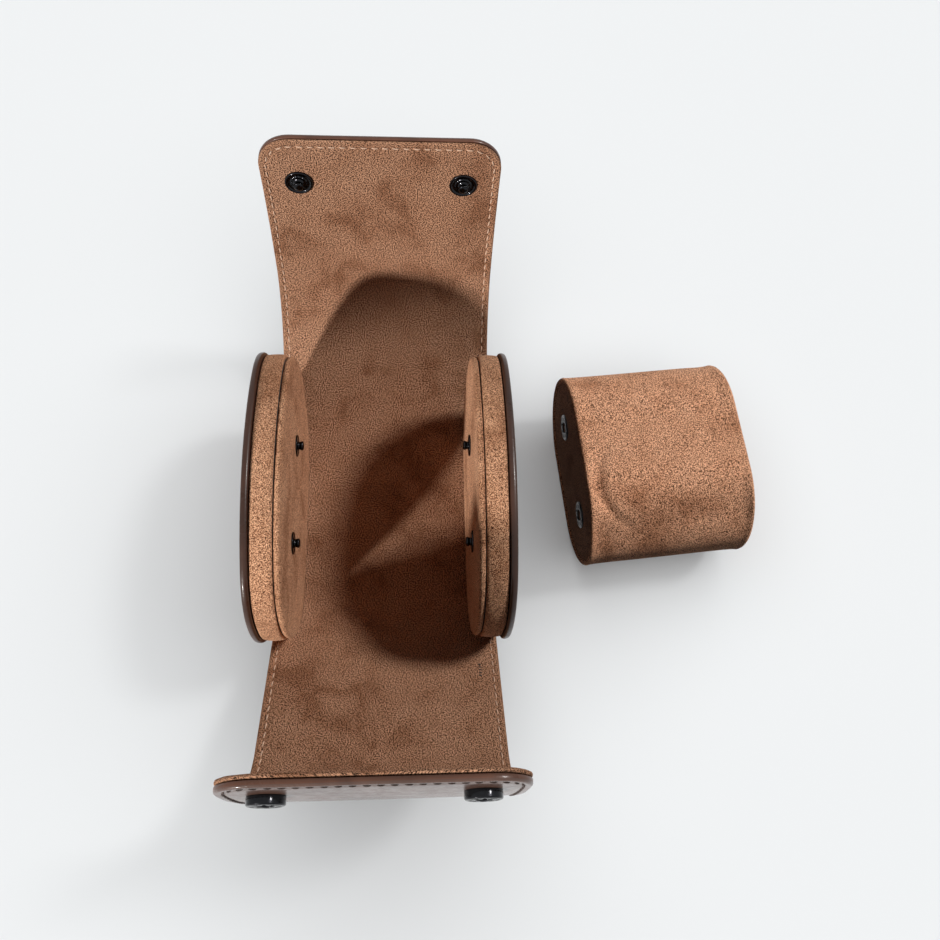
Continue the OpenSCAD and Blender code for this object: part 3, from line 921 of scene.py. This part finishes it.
class ROLL_OT_snaps(bpy.types.Operator):
    """Make the snaps of both flaps"""
    bl_idname = "roll.snaps"
    bl_label = "Flap snaps"

    def execute(self, context):
        n, outside = sizes("roll_snap"), wrap_thickness()
        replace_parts(flap_snaps("front_ring_sockets", False, n.socket_back, outside,
                               socket_profile(n.socket_height, 0.3 * MM), False,
                               slots(n.socket_radius, 0.78, 8, 0.3 * MM)), "front_sockets")
        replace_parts(flap_snaps("front_rolled_eyelets", False, n.socket_back,
                               -rise_over(n.eyelet_radius, False), eyelet_profile(), True),
                    "front_eyelets")
        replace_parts(flap_snaps("rear_ring_studs", True, n.stud_back,
                               -rise_over(n.flange_radius, True),
                               stud_profile(n.flange_radius, n.flange_height), True,
                               slots(n.flange_radius, 0.7, 12, 0.22 * MM)), "rear_studs")
        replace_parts(flap_snaps("rear_domed_covers", True, n.stud_back, outside,
                               cover_profile(), False), "rear_covers")
        return {"FINISHED"}


# ---- End caps ----

ENDS = ((-1, "left"), (1, "right"))


def cap_path():
    """Half of the outline of a cap, from the foot to the crown that closes it"""
    c, w = sizes("roll_cap"), sizes("roll_wrap")
    arcs = ((w.low_radius, c.low_turn), (c.side_radius, c.side_turn), (c.high_radius, c.high_turn))
    legs = [(w.foot, 0.0)] + [(radius * turn, turn) for radius, turn in arcs]
    y, _, heading = Path(legs, wrap_thickness()).pose(sum(run for run, _ in legs))
    crown = math.pi - heading
    return Path(legs + [(y / math.sin(crown) * crown, crown)], wrap_thickness())


def closed_ring(path, half_count):
    """Poses of points right round a symmetric outline, with their distance along it"""
    stops = [path.total * (i + 0.5) / half_count for i in range(half_count)]
    right = [(*path.pose(s), s) for s in stops]
    return right + [(-y, z, -heading, -s) for y, z, heading, s in right[::-1]]


def ring_points(ring, grow):
    """(y, z) of a ring moved out by grow"""
    out = []
    for y, z, heading, s in ring:
        side = -1 if s < 0 else 1
        out.append((y + side * grow * math.sin(abs(heading)), z - grow * math.cos(heading)))
    return out


def loft(rings, side=1, closed=False):
    """Skins rings of (x, y, z) points; the ends are closed unless the loft closes on itself"""
    bm = bmesh.new()
    verts = [[bm.verts.new((side * x, y, z)) for x, y, z in ring] for ring in rings]
    pairs = list(zip(verts, verts[1:])) + ([(verts[-1], verts[0])] if closed else [])
    count = len(verts[0])
    for one, two in pairs:
        for k in range(count):
            j = (k + 1) % count
            bm.faces.new((one[k], one[j], two[j], two[k]))
    if not closed:
        bm.faces.new(verts[0][::-1])
        bm.faces.new(verts[-1])
    return bm


def toward_middle(points, height, t):
    """(y, z) points drawn in to a middle at that height"""
    return [(y * t, height + (z - height) * t) for y, z in points]


def stud_places():
    c = sizes("roll_cap")
    level = wrap_thickness() + c.stud_level
    return [(-c.stud_span / 2, level), (c.stud_span / 2, level)]


def pucker(y, z, places, radius, reach, depth):
    """Dent of a padded face round the snaps in it"""
    dent = 0.0
    for py, pz in places:
        r = math.hypot(y - py, z - pz)
        dent += depth * math.exp(-max(0.0, (r - radius) / reach) ** 2)
    return dent


# Sections of a band and of the two faces of a plate, in mm: (along, out from the outline)
BAND = ((0.5, -1.4), (0.1, -1.1), (0.0, -0.75), (0.12, -0.42), (0.4, -0.16), (0.9, 0.0),
        (1.8, 0.12), (3.5, 0.2), (5.2, 0.12), (6.2, 0.0), (6.7, -0.2), (6.95, -0.6), (7.0, -1.4))
PLATE_NEAR = ((0.0, -2.1), (0.0, -1.0), (0.05, -0.5), (0.3, -0.15), (0.7, 0.0), (1.4, -0.03))
PLATE_FAR = ((-0.4, -0.2), (-0.12, -0.5), (0.0, -1.0), (0.0, -1.7), (-0.08, -2.0),
             (-0.18, -2.3), (-0.08, -2.6), (0.0, -3.2), (0.0, -5.0))


def padded_band(ring, side, word):
    """The suede band round the foam of a cap"""
    c, rings = sizes("roll_cap"), []
    x0 = c.inner + c.panel + c.seam
    for along, grow in BAND:
        points = []
        for p in ring:
            soft = 0.12 * rough(p[3] * 120, along * 0.25, 4.0 + side)
            tuft = 0.10 * rough(p[3] * 800, along, 2.0) if grow < 0 else 0.0
            deep = grow + (soft + tuft if grow > -1.0 else 0.0)
            points += ring_points([p], deep * MM)
        rings.append([(x0 + along * MM, y, z) for y, z in points])
    piece = finish_mesh(f"{word}_padded_band", loft(rings, side, True), ["suede"])
    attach(piece, "case")
    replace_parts(piece, f"{word}_band")


def padded_panel(ring, side, word):
    """The suede panel on the inner side of a cap, with a rolled rim and dents at the studs"""
    c, height, steps = sizes("roll_cap"), wrap_thickness() + 36 * MM, 34
    x0, x1 = c.inner, c.inner + c.panel
    rings = [[(x1, y, z) for y, z in ring_points(ring, -0.9 * MM)]]
    for a in (0, 18, 36, 54, 72, 90):
        a = math.radians(a)
        points = []
        for p in ring:
            tuft = 0.10 * rough(p[3] * 800, a, 6.0) * math.cos(a)
            points += ring_points([p], (-0.4 - 1.1 * (1 - math.cos(a)) + tuft) * MM)
        rolled = x0 + 1.1 * MM * (1 - math.sin(a)) + 0.15 * MM
        rings.append([(rolled, y, z) for y, z in points])
    inner = ring_points(ring, -1.5 * MM)
    for k in range(1, steps):
        t = 1 - k / steps
        puffed = 0.15 * MM * (1 - min(1.0, (1 - t) / 0.18)) ** 2
        rings.append([(x0 + puffed + pucker(y, z, stud_places(), 0.0038, 0.0022, 0.25 * MM)
                       + 0.06 * MM * rough(y * 90, z * 90, side), y, z)
                      for y, z in toward_middle(inner, height, t)])
    piece = finish_mesh(f"{word}_padded_panel", loft(rings, side), ["suede"], 60)
    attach(piece, "case")
    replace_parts(piece, f"{word}_panel")


def leather_plate(ring, side, word):
    """The leather plate on the outer side of a cap, with a creased line inside its rim"""
    c, gap = sizes("roll_cap"), 0.1 * MM
    x0, thick, over = c.outer + gap, c.backer + c.plate - gap, c.plate_over
    section = [(x0 + x * MM, grow) for x, grow in PLATE_NEAR]
    section += [(x0 + thick + x * MM, grow) for x, grow in PLATE_FAR]
    rings = [[(x, y, z) for y, z in ring_points(ring, over + grow * MM)] for x, grow in section]
    piece = finish_mesh(f"{word}_leather_plate", loft(rings, side),
                        ["leather_edge"], 60)
    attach(piece, "case")
    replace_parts(piece, f"{word}_plate", f"{word}_backer")


class ROLL_OT_caps(bpy.types.Operator):
    """Make the two padded end caps"""
    bl_idname = "roll.caps"
    bl_label = "End caps"

    def execute(self, context):
        ring = closed_ring(cap_path(), 90)
        for side, word in ENDS:
            padded_band(ring, side, word)
            padded_panel(ring, side, word)
            leather_plate(ring, side, word)
        for _, word in ENDS:
            node = frame["nodes"][f"{word}_core"]
            node.data.materials.clear()
            node.data.materials.append(finish_of("open_cell_foam"))
        return {"FINISHED"}


class ROLL_OT_cap_studs(bpy.types.Operator):
    """Make the studs that hold the cushion between the caps"""
    bl_idname = "roll.cap_studs"
    bl_label = "Cap studs"

    def execute(self, context):
        c, n = sizes("roll_cap"), sizes("roll_snap")
        for side, word in ENDS:
            bm, inward = bmesh.new(), Matrix.Rotation(-side * math.pi / 2, 4, "Y")
            for y, z in stud_places():
                place = Matrix.Translation((side * c.inner, y, z)) @ inward
                revolve(bm, stud_profile(n.cap_stud_radius, n.cap_stud_height), n.sides, place)
            piece = finish_mesh(f"{word}_ring_studs", bm, ["black_nickel"], 50)
            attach(piece, "case")
            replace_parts(piece, f"{word}_studs")
        return {"FINISHED"}


# ---- Cushion ----

def pad_path():
    """Half of the outline of the cushion, in three equal turns between its two flats"""
    p, turn = sizes("roll_cushion"), math.pi / 3
    arcs = [(radius * turn, turn) for radius in (p.corner, p.side, p.corner)]
    return Path([(p.flat, 0.0), *arcs, (p.flat, 0.0)], 0.0)


def pad_middle():
    """Half of the height of the cushion"""
    p = sizes("roll_cushion")
    return (p.corner + p.side) / 2


def in_cushion():
    """Matrix of the place of the cushion on the table"""
    p = sizes("roll_cushion")
    return Matrix.Translation((p.place_x, p.place_y, 0)) @ Matrix.Rotation(p.turn, 4, "Z")


def inflate(piece, pressure, reach, held):
    """Swells a closed form by cloth simulation. Points for which held is true stay, and
    no other point moves farther than reach."""
    scene, mesh = bpy.context.scene, piece.data
    start = np.array([v.co for v in mesh.vertices])
    stay = [v.index for v in mesh.vertices if held(v.co)]
    group = piece.vertex_groups.new(name="held")
    group.add(stay, 1.0, "REPLACE")
    cloth = piece.modifiers.new("cloth", "CLOTH")
    settings = cloth.settings
    settings.quality, settings.mass = 5, 0.2
    settings.vertex_group_mass = group.name
    settings.use_pressure, settings.uniform_pressure_force = True, pressure
    settings.effector_weights.gravity = 0.0
    settings.tension_stiffness = settings.compression_stiffness = 12.0
    settings.shear_stiffness, settings.bending_stiffness = 4.0, 2.0
    cloth.collision_settings.use_collision = False
    cloth.point_cache.frame_start, cloth.point_cache.frame_end = 1, 20
    for number in range(1, cloth.point_cache.frame_end + 1):
        scene.frame_set(number)
    done = piece.evaluated_get(bpy.context.evaluated_depsgraph_get())
    swollen = np.array([v.co for v in done.data.vertices])
    piece.modifiers.remove(cloth)
    piece.vertex_groups.remove(group)
    scene.frame_set(1)
    move = swollen - start
    far = np.linalg.norm(move, axis=1, keepdims=True)
    move *= reach * np.tanh(far / reach) / np.maximum(far, 1e-9)
    if not np.isfinite(move).all() or far.max() < 1e-6:
        raise RuntimeError("the cushion did not swell")
    mesh.vertices.foreach_set("co", (start + move).astype(np.float32).ravel())
    mesh.update()


def crease(piece, spots, half):
    """Folds the swollen cover: a crescent beside the left rim, a long hollow in front and a
    pull near the right rim. spots has (across, along) of each point, and the folds are in mm."""
    normals = [v.normal.copy() for v in piece.data.vertices]
    if len(normals) != len(spots):
        raise RuntimeError("the cover and its fold table differ")
    for vert, normal, (x, s) in zip(piece.data.vertices, normals, spots):
        rim = max(0.0, 1 - (abs(x) / half) ** 14)
        x, s = x / MM, s / MM
        bow = ridge(x, 0.03 * (s + 86) ** 2 - 26, 2.0) * ridge(s, -86, 12)
        hollow = ridge(s + 0.12 * x, -69, 9.5)
        pull = ridge(x, 24, 2.4) * ridge(s, 78, 16)
        vert.co -= normal * (2.7 * bow + 2.0 * hollow + 0.5 * pull) * rim * MM
        vert.co.z = max(vert.co.z, 0.0)


# Rim of the cover, in mm: (across, out from the outline), across from the end panel inwards
# on the first three rows and from the end of the cover on the others
RIM_INNER = ((-1.2, -2.2), (-0.1, -2.0), (0.1, -1.75))
RIM_OUTER = ((-0.12, -1.3), (0.0, -0.9), (-0.12, -0.5), (-0.5, -0.2), (-1.1, -0.06))


def cushion_cover(ring, half, face):
    """The cover of the cushion over its foam, swollen and then folded"""
    stations = [(face + x * MM, grow) for x, grow in RIM_INNER]
    stations += [(half + x * MM, grow) for x, grow in RIM_OUTER]
    rows = [(-x, grow) for x, grow in stations]
    rows += [(x, 0.0) for x in lines(2.0 * MM - half, half - 2.0 * MM, 1.2 * MM)]
    rows += stations[::-1]
    rings, spots = [], []
    for x, grow in rows:
        t, points = abs(x) / half, []
        for y, z, heading, s in ring:
            deep = grow - 0.45 * t ** 6
            if t < 0.96:
                deep += (0.14 * rough(s * 24 + x * 12, x * 34, 1.7) - 0.7) * (1 - t ** 8)
            points += [(x, *point) for point in ring_points([(y, z, heading, s)], deep * MM)]
            spots.append((x, s))
        rings.append(points)
    piece = finish_mesh("cushion_form", loft(rings), ["suede_cushion"], 70)
    inflate(piece, 5.0, 1.2 * MM, lambda co: abs(co.x) > half - 2.6 * MM)
    crease(piece, spots, half)
    piece.matrix_world = in_cushion()
    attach(piece, "cushion")
    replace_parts(piece, "pad_cover", "pad_core")


def cushion_end(ring, face, side, word):
    """An end panel of the cushion, sunk in the cover and dented at the sockets"""
    reach, steps = sizes("roll_cap").stud_span / 2, 30
    places = [(-reach, pad_middle()), (reach, pad_middle())]
    outer = ring_points(ring, -1.7 * MM)
    rings = [[(face - 1.0 * MM, y, z) for y, z in outer]]
    for k in range(steps):
        t = 1 - k / steps
        puffed = 0.35 * MM * (1 - t ** 4) - 0.25 * MM
        rings.append([(face + puffed - pucker(y, z, places, 0.005, 0.002, 0.3 * MM)
                       + 0.06 * MM * rough(y * 90, z * 90, side), y, z)
                      for y, z in toward_middle(outer, pad_middle(), t)])
    # The end panel's suede is darkened to 0.55 of its colour as painted shade
    piece = finish_mesh(f"cushion_{word}_end", loft(rings, side), ["suede_end"], 60)
    piece.matrix_world = in_cushion()
    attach(piece, "cushion")
    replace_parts(piece, f"pad_{word}_panel")


class ROLL_OT_cushion(bpy.types.Operator):
    """Make the cushion with its end panels"""
    bl_idname = "roll.cushion"
    bl_label = "Cushion"

    def execute(self, context):
        p, ring = sizes("roll_cushion"), closed_ring(pad_path(), 100)
        face = p.half_length - p.lip
        cushion_cover(ring, p.half_length, face)
        for side, word in ENDS:
            cushion_end(ring, face, side, word)
        return {"FINISHED"}


class ROLL_OT_cushion_sockets(bpy.types.Operator):
    """Make the sockets in the ends of the cushion"""
    bl_idname = "roll.cushion_sockets"
    bl_label = "Cushion sockets"

    def execute(self, context):
        p, c, n = sizes("roll_cushion"), sizes("roll_cap"), sizes("roll_snap")
        for side, word in ENDS:
            bm, outward = bmesh.new(), Matrix.Rotation(side * math.pi / 2, 4, "Y")
            x = side * (p.half_length - p.lip)
            for y in (-c.stud_span / 2, c.stud_span / 2):
                place = in_cushion() @ Matrix.Translation((x, y, pad_middle())) @ outward
                revolve(bm, socket_profile(0.35 * MM, 1.5 * MM), n.sides, place,
                        slots(n.socket_radius, 0.78, 8, 0.25 * MM))
            piece = finish_mesh(f"cushion_{word}_sockets", bm, ["black_nickel"], 50)
            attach(piece, "cushion")
            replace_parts(piece, f"pad_{word}_sockets")
        return {"FINISHED"}


# ---- Stage ----

def lit_only(name, state, things):
    """A set that limits a lamp to some things, or keeps it off them"""
    group = bpy.data.collections.new(name)
    for thing in things:
        group.objects.link(thing)
    for entry in group.collection_objects:
        entry.light_linking.link_state = state
    return group


def pale_world():
    """Low light on the part; seen straight or mirrored, the room is white"""
    n = Nodes(bpy.data.worlds.new("pale_room"))
    level = n.add("ShaderNodeMapRange", {"To Min": 0.035, "To Max": 0.95})
    n.link(n.seen(), level.inputs["Value"])
    back = n.tree.nodes["Background"]
    back.inputs["Color"].default_value = (0.92, 0.94, 0.96, 1.0)
    n.link(level.outputs[0], back.inputs["Strength"])
    return n.owner


def pale_floor():
    """A plane that is pale where it is seen, and gives the part little light back"""
    bpy.ops.mesh.primitive_plane_add(size=6.0)
    floor = bpy.context.active_object
    floor.name = "floor"
    f, n = new_finish("pale_floor")
    floor.data.materials.append(n.finish(Base_Color=n.mix(n.seen(), grey(0.13), f.floor),
                                         Roughness=0.85, Specular_IOR_Level=0.1))
    return floor


# Directions to the lamps and their tints
RIGHT, FRONT_LEFT, ABOVE = (0.584, 0.236, 0.777), (-0.582, -0.738, 0.342), (0.1, 0.1, 1.0)
WARM, WARMER, WHITE = (1.0, 0.97, 0.94), (1.0, 0.96, 0.92), (1.0, 1.0, 1.0)


def sun(name, toward, strength, spread, tint, receivers):
    """A distant lamp; spread is how wide it looks, in degrees"""
    lamp = bpy.data.lights.new(name, "SUN")
    lamp.energy, lamp.angle, lamp.color = strength, math.radians(spread), tint
    piece = bpy.data.objects.new(name, lamp)
    piece.rotation_euler = Vector(toward).to_track_quat("Z", "Y").to_euler()
    piece.light_linking.receiver_collection = receivers
    bpy.context.scene.collection.objects.link(piece)
    return piece


def fixed_camera():
    """The camera: focal length in picture widths, and turns about Z, Y and X in degrees"""
    focal, sensor, turns = 883.25 / 940, 36.0, ((-1.588, "Z"), (-3.615, "Y"), (19.887, "X"))
    camera = bpy.data.objects.new("camera", bpy.data.cameras.new("camera"))
    camera.data.sensor_width, camera.data.lens = sensor, focal * sensor
    camera.data.clip_start = 0.01
    place = Matrix.Translation((0.008787, -0.096148, 0.332217))
    for turn, axis in turns:
        place = place @ Matrix.Rotation(math.radians(turn), 4, axis)
    camera.matrix_world = place
    bpy.context.scene.collection.objects.link(camera)
    return camera


class ROLL_OT_stage(bpy.types.Operator):
    """Set the floor, the light and the camera"""
    bl_idname = "roll.stage"
    bl_label = "Floor, light and camera"

    def execute(self, context):
        scene, floor = context.scene, pale_floor()
        # The floor has lamps of its own, so that it stays pale and keeps a soft shadow
        cushion = [o for o in scene.objects if o.name.startswith("cushion_")]
        on_cushion = lit_only("cushion_only", "INCLUDE", cushion)
        on_roll = lit_only("roll_only", "EXCLUDE", [floor] + cushion)
        on_floor = lit_only("floor_only", "INCLUDE", [floor])
        lamps = [sun("lamp_right", RIGHT, 2.25, 11.0, WARM, on_roll),
                 sun("lamp_front", FRONT_LEFT, 3.7, 4.5, WARMER, on_roll),
                 sun("lamp_cushion", RIGHT, 4.4, 11.0, WARM, on_cushion),
                 sun("floor_soft", ABOVE, 3.2, 110.0, WHITE, on_floor),
                 sun("floor_right", RIGHT, 0.5, 10.0, WHITE, on_floor)]
        scene.world, scene.camera = pale_world(), fixed_camera()
        scene.view_settings.view_transform = "Standard"
        return {"FINISHED"}


class ROLL_PT_panel(bpy.types.Panel):
    """Sizes, colours and steps of the watch roll"""
    bl_idname = "ROLL_PT_panel"
    bl_label = "Watch travel roll"
    bl_space_type = "VIEW_3D"
    bl_region_type = "UI"
    bl_category = "Watch roll"

    def draw(self, context):
        for key, group in GROUPS.items():
            box = self.layout.box()
            box.label(text=group.__doc__)
            for name in group.__annotations__:
                box.prop(getattr(context.scene, key), name)
        for step in STEPS:
            self.layout.operator(step.bl_idname)


STEPS = (ROLL_OT_lining, ROLL_OT_boards, ROLL_OT_leather, ROLL_OT_stitches, ROLL_OT_snaps,
         ROLL_OT_caps, ROLL_OT_cap_studs, ROLL_OT_cushion, ROLL_OT_cushion_sockets, ROLL_OT_stage)
CLASSES = (*GROUPS.values(), *STEPS, ROLL_PT_panel)


def register():
    for item in CLASSES:
        bpy.utils.register_class(item)
    for key, group in GROUPS.items():
        setattr(bpy.types.Scene, key, PointerProperty(type=group))


def unregister():
    for key in GROUPS:
        delattr(bpy.types.Scene, key)
    for item in reversed(CLASSES):
        bpy.utils.unregister_class(item)


def main():
    register()
    for step in STEPS:
        group, name = step.bl_idname.split(".")
        getattr(getattr(bpy.ops, group), name)()


if __name__ == "__main__":
    main()
